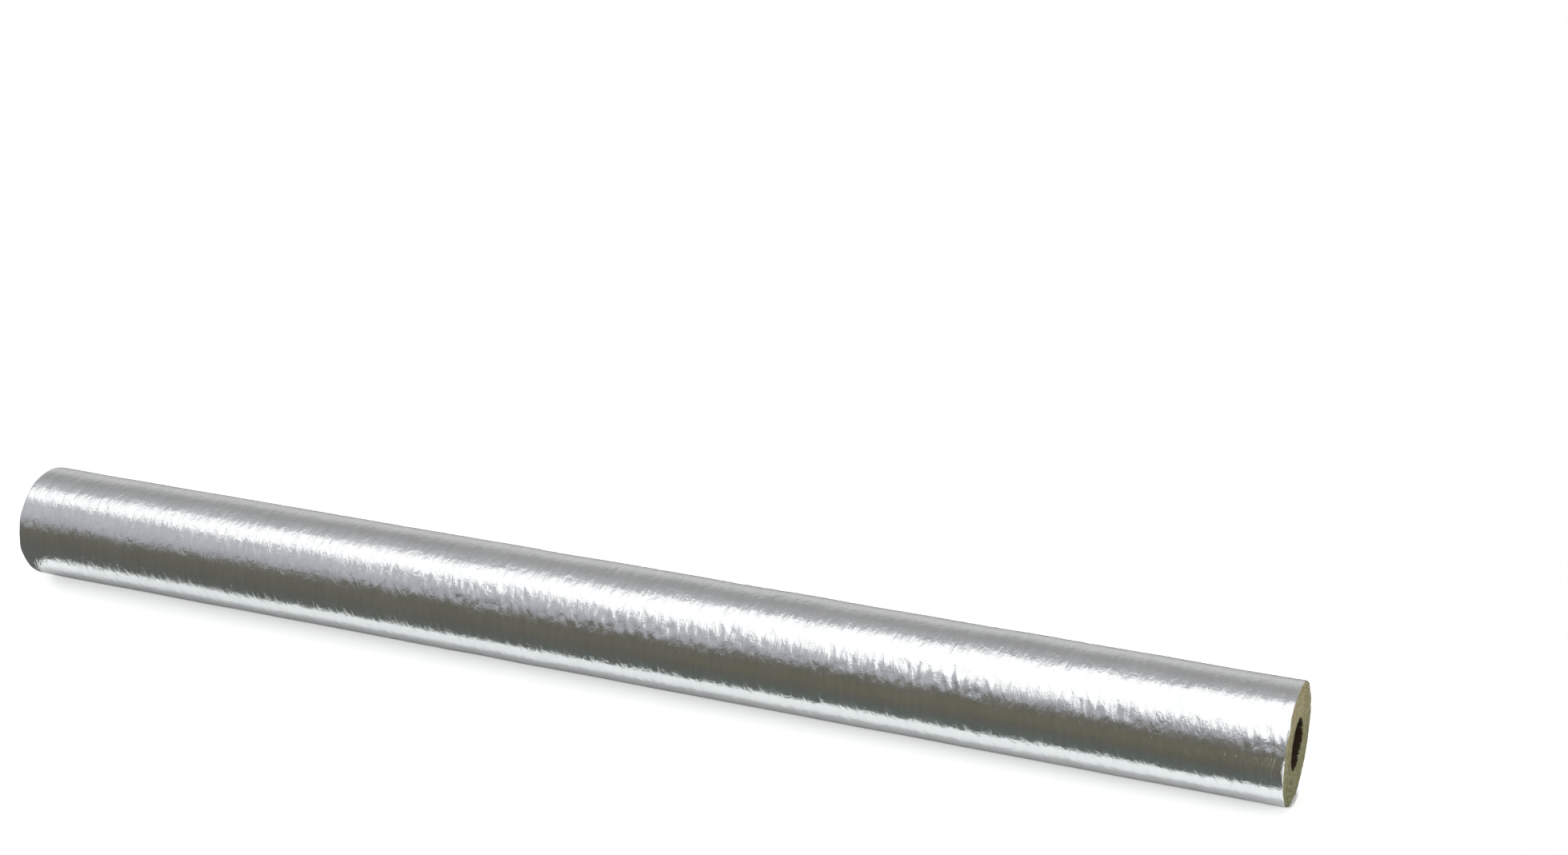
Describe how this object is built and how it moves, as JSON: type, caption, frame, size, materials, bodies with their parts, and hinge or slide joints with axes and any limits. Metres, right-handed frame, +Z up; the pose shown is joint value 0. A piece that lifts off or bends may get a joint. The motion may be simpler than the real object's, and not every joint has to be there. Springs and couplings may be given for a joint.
{
  "type": "mineral wool pipe insulation",
  "caption": "Straight mineral wool pipe section with a round bore, slit along one side and hinged on the other, faced with aluminium foil that laps over the slit.",
  "frame": {"origin": "centre of the bore at mid-length", "axes": "+X along the bore, +Z up as the section lies on its side; the slit is on the +Y side"},
  "size_m": [1.2, 0.1025, 0.1024],
  "materials": {
    "wool": "matt, fibrous",
    "foil": "bright foil, lightly wrinkled"
  },
  "bodies": {
    "root": {"wool_shell": "wool", "foil_facing": "foil"}
  },
  "joints": []
}
